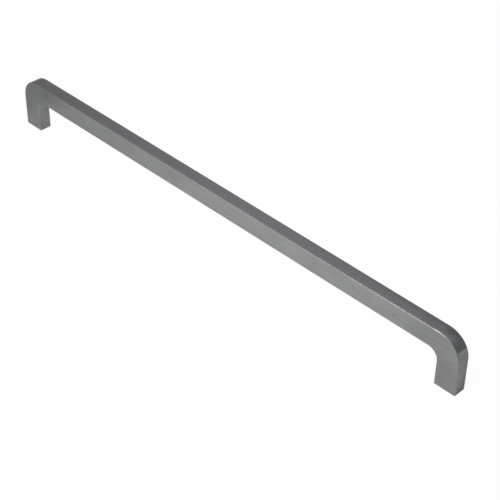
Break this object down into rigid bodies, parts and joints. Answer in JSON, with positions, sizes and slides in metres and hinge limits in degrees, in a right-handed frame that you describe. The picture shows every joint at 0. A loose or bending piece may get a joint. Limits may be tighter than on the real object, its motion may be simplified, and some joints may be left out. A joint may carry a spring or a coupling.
{
  "type": "cabinet pull",
  "caption": "Straight bow pull for a drawer or cabinet door: a slim rectangular bar with rounded ends turning down into square legs, tapped in the feet for screws.",
  "frame": {"origin": "on the face of the door or drawer front, midway between the two screw holes", "axes": "+X along the bar from foot to foot, +Y across the bar's thin side, +Z out of the door towards the user"},
  "size_m": [0.333, 0.0074, 0.033],
  "materials": {
    "satin_metal": "satin, finely ground, edges lightly worn bright"
  },
  "bodies": {
    "root": {"pull": "satin_metal"}
  },
  "joints": []
}
